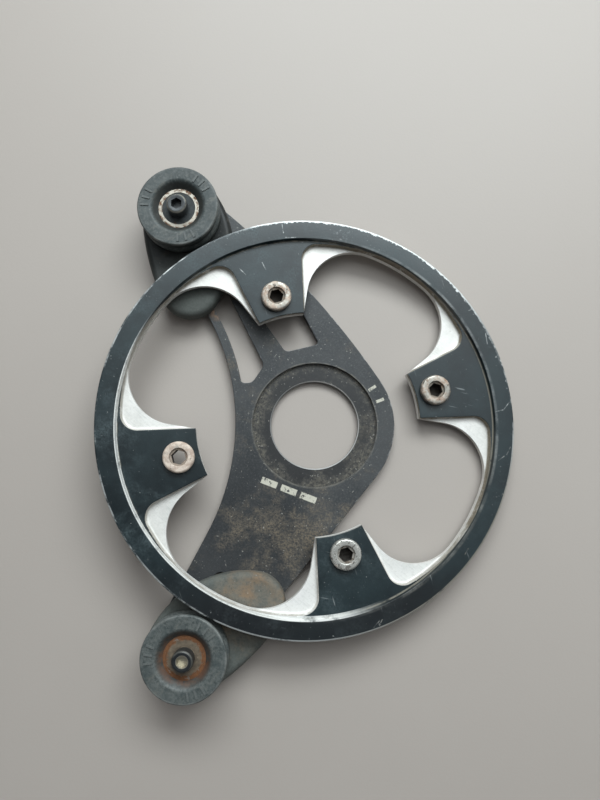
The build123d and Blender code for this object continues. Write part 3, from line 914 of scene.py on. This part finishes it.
def chamfer_wear(spot, local, upper_right):
    """Mask of the bare outer edge: a line on the chamfer, ragged teeth, and scrapes down the wall."""
    x, y, _ = split(spot)
    out = from_axis(local, ring_axis)
    on_chamfer = fade_mm(split(local)[2], 5.3, 5.8)
    lower_right = fade_mm(minus(both(x, 0.6), y), 30, 60)
    worn_part = either(both(upper_right, 0.16), both(lower_right, 0.14))
    line = plus(grain(spot, 80, 7, 0.72), worn_part)
    line = both(fade_mm(out, 81.1, 81.4), fade(line, 0.45, 0.62))
    line = both(line, on_chamfer)
    broken = both(fade_mm(x, 18, 36), fade_mm(y, 0, 24))
    broken = both(broken, blots(spot, 430, 4, 0.7, 0.57, 0.43))
    line = both(line, minus(1, broken))
    streaks = node("Mapping", {"Vector": local, "Scale": (0.08, 0.08, 1)}).outputs[0]
    scraped = plus(grain(streaks, 1500, 5, 0.65), both(upper_right, 0.06))
    scraped = plus(scraped, both(grain(spot, 90, 6, 0.7), 0.5))
    scraped = both(fade(scraped, 0.82, 1), fade_mm(out, 81.45, 81.9))
    ragged = plus(out, both(grain(spot, 650, 4, 0.7), 0.0032))
    teeth = both(fade_mm(ragged, 82.5, 82.85), upper_right)
    return either(line, either(both(teeth, on_chamfer), scraped))


def step_wear_and_light(spot, local, right):
    """Mask of the step inside the rim: rubbed bare on the lower left, widened at the bottom as a
    painted reflection, and a thin painted highlight along its top edge on the right.
    """
    x, y, _ = split(spot)
    out = from_axis(local, ring_axis)
    # At the bottom the step's mask reaches further in, as a painted reflection.
    lower = both(fade_mm(y, -50, -66), 0.0009)
    step_face = fade_mm(plus(out, lower), 73.7, 73.9)
    low_left = fade_mm(plus(x, both(y, 0.8)), -25, -55)
    rubbed = both(both(fade_mm(out, 74.8, 74.5), step_face), low_left)
    rubbed = both(rubbed, blots(spot, 110, 7, 0.7, 0.26, 0.5))
    # A thin line along the step's top edge on the right is a painted highlight.
    edge = both(fade_mm(out, 74.2, 74.4), fade_mm(out, 75.7, 75))
    edge = both(edge, blots(spot, 130, 7, 0.72, 0.34, 0.66))
    return either(rubbed, both(both(edge, right), 0.28))


def ring_scratches(spot):
    """Mask of the scratches on the ring's face: a scuffed patch and single strokes."""
    scratched = blots(spot, 380, 6, 0.75, 0.5, 0.74)
    scratched = both(patch(spot, (10.3, 75.6), 7.5, 1), scratched)
    for x, y, turn, length in ring_strokes:
        scratched = either(scratched, dash(spot, x, y, turn, length, stroke_w))
    scratched = both(scratched, blots(spot, 700, 5, 0.7, 0.38, 0.66))
    return both(scratched, 0.75)


def anodised_finish(name):
    """Black anodising with turning lines, haze and scuffs, worn bare on the edge and the step, with
    haze thinned on the right as painted shade and a painted reflection and highlight on the step.
    """
    mat, shader, spot = new_finish(name)
    local = ring_point(spot)
    x, y, _ = split(spot)
    out = from_axis(local, ring_axis)
    right = fade_mm(x, -10, 50)
    upper_right = fade_mm(plus(y, both(x, 0.25)), 38, 72)
    upper_right = both(upper_right, fade_mm(x, -42, -8))
    cloud = grain(spot, 45, 7, 0.62)
    speckle = grain(spot, 1300, 4, 0.65)
    colour = layer(fade(cloud, 0.3, 0.7), ring_black, ring_slate)
    haze = blots(spot, 70, 9, 0.72, 0.44, 0.76)
    haze = both(haze, fade(speckle, 0.3, 0.66))
    # Haze is thinned on the right as painted shade.
    colour = layer(haze, colour, ring_haze, minus(0.55, both(right, 0.3)))
    rough = amount(haze, amount(cloud, 0.26, 0.44), 0.66)
    low_rim = both(fade_mm(out, 73.5, 74.5), fade_mm(y, -48, -70))
    colour = layer(low_rim, colour, low_rim_black, 0.7)
    grit = blots(spot, 1000, 2, 0.5, 0.71, 0.78)
    colour = layer(grit, colour, ring_grit, 0.55)
    marks = either(scuffs(spot, 12, 800), scuffs(spot, 71, 950))
    colour = layer(marks, colour, ring_scuff, 0.45)
    foot = both(fade_mm(out, 73.3, 73.8), fade_mm(split(local)[2], 5.4, 4.9))
    foot_at = plus(grain(spot, 160, 6, 0.7), both(right, 0.12))
    foot = both(foot, fade(foot_at, 0.4, 0.62))
    colour = layer(foot, colour, foot_dirt, 0.8)
    rough = amount(foot, rough, 0.85)

    nicks = blots(spot, 420, 5, 0.68, 0.64, 0.7)
    nicks = both(fade_mm(out, 78.5, 81.5), nicks)
    # Here rubbed holds the step's wear together with its painted reflection and highlight.
    rubbed = step_wear_and_light(spot, local, right)
    bare = either(chamfer_wear(spot, local, upper_right), either(nicks, rubbed))
    bare = both(either(bare, ring_scratches(spot)), 0.9)
    stained = both(right, fade_mm(y, 10, -40))
    # The step's colour is bare alloy brightened as a painted reflection.
    shade = layer(rubbed, layer(stained, bare_rim, stained_rim), bare_step_and_reflection)
    colour = layer(bare, colour, shade)
    rough = amount(bare, rough, 0.45)
    height = plus(both(turning_lines(out, 3000), 0.35), both(speckle, 0.7))
    height = minus(height, both(nicks, 0.8))
    metal = both(bare, minus(0.6, both(rubbed, 0.35)))
    shader.inputs["Specular IOR Level"].default_value = 0.55
    return finish_with(mat, shader, colour, rough, height, 0.00004, metal)


def milled_finish(name):
    """Bare milled alloy gone matt, with fine cutter lines and tan dirt in the cove under the rim."""
    mat, shader, spot = new_finish(name)
    local = ring_point(spot)
    x, y, _ = split(spot)
    cloud = grain(spot, 140, 8, 0.68)
    colour = layer(fade(cloud, 0.3, 0.7), milled_dull, milled_bright)
    colour = layer(fade_mm(y, -42, -66), colour, milled_clean, 0.75)
    in_cove = fade_mm(split(local)[2], 2.42, 2.85)
    by_rim = fade_mm(from_axis(local, ring_axis), 69, 73)
    upper_right = fade_mm(plus(y, both(x, 0.9)), -20, 60)
    reach = both(upper_right, ramp(by_rim, 0.3, 0.5))
    reach = plus(reach, ramp(by_rim, 0.15, 0.55))
    dirt = both(both(in_cove, reach), blots(spot, 150, 8, 0.72, 0.24, 0.56))
    shade = layer(grain(spot, 330, 5, 0.7), cove_brown, cove_tan)
    colour = layer(dirt, colour, shade)
    speckle = blots(spot, 1300, 5, 0.7, 0.48, 0.72)
    colour = layer(speckle, colour, milled_speck, 0.28)
    spots = blots(spot, 460, 5, 0.65, 0.64, 0.75)
    colour = layer(spots, colour, milled_spot, 0.5)
    lines = grain(stretched(spot, 40, (0.05, 1, 1)), 2200, 2, 0.5)
    colour = layer(fade(lines, 0.5, 0.8), colour, cutter_line, 0.3)
    rough = amount(dirt, 0.5, 0.85)
    metal = both(minus(1, dirt), 0.25)
    height = plus(both(lines, 0.4), both(dirt, grain(spot, 1200, 4)))
    return finish_with(mat, shader, colour, rough, height, 0.00005, metal)


set_in_place("milled_ring", ring,
             [anodised_finish("black_anodising"), milled_finish("bare_milled_alloy")],
             "base", "bash_ring")

# Chainring bolts. Four hollow steel bolts with a round head and a hexagon right through, left in the
# ring's tabs. The plating has gone and rust has spread from the sockets. Dark plugs, which stand in
# for the shade down the sockets, stop all of them but the left one.
bolt_r = 4
bolt_head_r = 6
bolt_head_top = 7.3
bolt_mouth_r = 3.2
bolt_mouth_z = bolt_head_top - 0.9
bolt_hex_r = 2.887
bolt_hex_z = bolt_head_top - 1
shade_plug_play = 0.02
shade_plug_z = 2
shade_plugged_quarters = (0, 1, 3)
plating_dark = (0.27, 0.25, 0.22)
plating_light = (0.54, 0.51, 0.455)
bright_plating_and_reflection = (0.68, 0.67, 0.63)
film_brown = (0.3, 0.165, 0.1)
film_tan = (0.7, 0.56, 0.455)
left_painted_light = (0.95, 0.84, 0.74)
pit_dark = (0.045, 0.033, 0.024)
mouth_brown = (0.105, 0.072, 0.045)
socket_painted_shade = (0.016, 0.012, 0.009)


def rusty_bolt_finish(name):
    """Plated steel with brown film, dark pits and rusty sockets, rustiest on the left head; the left
    head is also lightened as painted light, the low head brightened as a painted reflection and the
    socket walls painted dark as shade.
    """
    mat, shader, spot = new_finish(name)
    x, y, z = split(ring_point(spot))
    far_x = calc("ABSOLUTE", x)
    far_y = calc("ABSOLUTE", y)
    along = minus(either(far_x, far_y), bolt_circle_r / 1000)
    across = calc("MINIMUM", far_x, far_y)
    on_head = node("CombineXYZ", {0: along, 1: across}).outputs[0]
    out = node("VectorMath", {0: on_head}, operation="LENGTH").outputs["Value"]
    cloud = grain(spot, 260, 7, 0.7)
    colour = layer(fade(cloud, 0.3, 0.7), plating_dark, plating_light)
    left = fade_mm(x, -30, -45)
    low = fade_mm(y, -30, -45)
    # The low head is brightened as a painted reflection.
    colour = layer(low, colour, bright_plating_and_reflection, 0.6)
    # More film on the left head is partly rust and partly painted light.
    film_and_light = plus(grain(spot, 330, 8, 0.72), both(left, 0.12))
    film_and_light = minus(film_and_light, both(low, 0.1))
    film_and_light = both(fade(film_and_light, 0.43, 0.62), 0.9)
    shade = blots(spot, 480, 6, 0.72, 0.38, 0.62)
    colour = layer(film_and_light, colour, layer(shade, film_brown, film_tan))
    # The left head is lightened as painted light.
    colour = layer(left, colour, left_painted_light, 0.3)
    fewer = both(plus(low, left), 0.05)
    pits = fade(minus(grain(spot, 620, 5, 0.7), fewer), 0.56, 0.66)
    dots = both(blots(spot, 1000, 2, 0.5, 0.55, 0.62), low)
    pits = both(either(pits, dots), 0.8)
    colour = layer(pits, colour, pit_dark)
    inside = fade_mm(out, 3.6, 3.3)
    sunk = both(inside, fade_mm(z, 7.3, 6.6))
    colour = layer(sunk, colour, mouth_brown, 0.6)
    # The socket walls are painted dark as shade.
    socket_shade_mask = both(inside, fade_mm(z, 6.4, 6))
    colour = layer(socket_shade_mask, colour, socket_painted_shade, 0.9)
    brown = either(either(film_and_light, pits), sunk)
    rough = amount(brown, minus(0.4, both(low, 0.14)), 0.82)
    metal = both(minus(1, brown), minus(0.85, both(low, 0.3)))
    height = both(film_and_light, grain(spot, 1900, 4))
    height = minus(height, both(pits, 0.4))
    return finish_with(mat, shader, colour, rough, height, 0.00006, metal)


ring_bolts = turned_piece([(bolt_r, 0), (bolt_r, tab_top), (bolt_head_r - 0.2, tab_top),
                           (bolt_head_r, tab_top + 0.2), (bolt_head_r, bolt_head_top - 0.9),
                           (5.88, bolt_head_top - 0.45), (5.55, bolt_head_top - 0.12),
                           (5.1, bolt_head_top), (3.75, bolt_head_top), (3.5, bolt_head_top - 0.12),
                           (3.4, bolt_head_top - 0.35), (bolt_mouth_r, bolt_mouth_z)], 60)
low_hex = cut_socket(ring_bolts, rim_at(ring_bolts, bolt_mouth_r, bolt_mouth_z), bolt_hex_z, bolt_hex_r,
                     bolt_hex_z, True)
bmesh.ops.bridge_loops(ring_bolts, edges=low_hex + rim_at(ring_bolts, bolt_r, 0))
bmesh.ops.recalc_face_normals(ring_bolts, faces=ring_bolts.faces)
bmesh.ops.translate(ring_bolts, vec=(bolt_circle_r, 0, 0), verts=ring_bolts.verts)
repeat_round(ring_bolts)
# Dark hexagon plugs down three sockets stand in for shade.
for quarter in shade_plugged_quarters:
    shade_plug_at = Matrix.Translation((*turned_about((bolt_circle_r, 0), quarter), shade_plug_z))
    bmesh.ops.create_cone(ring_bolts, cap_ends=True, segments=6, radius1=bolt_hex_r - shade_plug_play,
                          radius2=bolt_hex_r - shade_plug_play, depth=1,
                          matrix=shade_plug_at @ Matrix.Rotation(quarter * pi / 2, 4, "Z"))
bmesh.ops.recalc_face_normals(ring_bolts, faces=ring_bolts.faces)
bmesh.ops.transform(ring_bolts, matrix=ring_laid, verts=ring_bolts.verts)
set_in_place("ring_bolt_set", ring_bolts, [rusty_bolt_finish("rusty_plating")], "base",
             "chainring_bolts")

# Floor, light and camera. A plain pale floor; a large softbox behind the part's upper end, a weaker one
# above it and a small one on the right; and a camera almost straight overhead.
floor_half = 12
floor_z = -0.0002
floor_dark = (0.44, 0.387, 0.35)
floor_light = (0.482, 0.428, 0.388)
daylight = (0.88, 0.97, 1)
room_air = (0.93, 0.97, 1, 1)
room_dark = 0.08
room_light = 0.34
camera_place = (-0.0059, -0.01581, 0.2504)
camera_tilt = radians(6)
camera_lens = 27.45


def floor_finish(name):
    """Pale floor with the faintest cloud."""
    mat, shader, spot = new_finish(name)
    cloud = grain(spot, 6, 4)
    colour = layer(cloud, floor_dark, floor_light)
    rough = amount(cloud, 0.45, 0.6)
    return finish_with(mat, shader, colour, rough, grain(spot, 900, 3), 0.00003)


def softbox(name, place, width, depth, power):
    """Large cool soft light that faces the part."""
    lamp = bpy.data.lights.new(name, "AREA")
    lamp.shape = "RECTANGLE"
    lamp.size = width
    lamp.size_y = depth
    lamp.energy = power
    lamp.color = daylight
    made = bpy.data.objects.new(name, lamp)
    made.location = place
    made.rotation_euler = (-Vector(place)).to_track_quat("-Z", "Y").to_euler()
    bpy.context.scene.collection.objects.link(made)


ground = bmesh.new()
bmesh.ops.create_grid(ground, x_segments=1, y_segments=1, size=floor_half)
floor = loose_object("floor", ground)
floor.location.z = floor_z
floor.data.materials.append(floor_finish("pale_floor"))
softbox("key_softbox", (0.18, 0.8, 0.78), 1.1, 0.4, 13.8)
softbox("high_softbox", (0.12, 0.45, 1.05), 1.2, 0.5, 3.2)
softbox("side_softbox", (0.8, 0.05, 0.8), 0.6, 0.8, 0.8)
world = bpy.data.worlds.new("studio")
world.use_nodes = True
backdrop = world.node_tree.nodes["Background"]
backdrop.inputs["Color"].default_value = room_air
toward = world.node_tree.nodes.new("ShaderNodeTexCoord").outputs["Generated"]
room = node("MapRange", {"Value": split(toward)[1], "From Min": -0.5, "From Max": 0.5,
                         "To Min": room_dark, "To Max": room_light})
world.node_tree.links.new(room.outputs["Result"], backdrop.inputs["Strength"])
bpy.context.scene.world = world
bpy.context.scene.view_settings.view_transform = "Standard"
lens = bpy.data.cameras.new("overhead")
lens.lens = camera_lens
lens.sensor_width = 36
camera = bpy.data.objects.new("overhead", lens)
camera.location = camera_place
camera.rotation_euler = (camera_tilt, 0, 0)
bpy.context.scene.collection.objects.link(camera)
bpy.context.scene.camera = camera
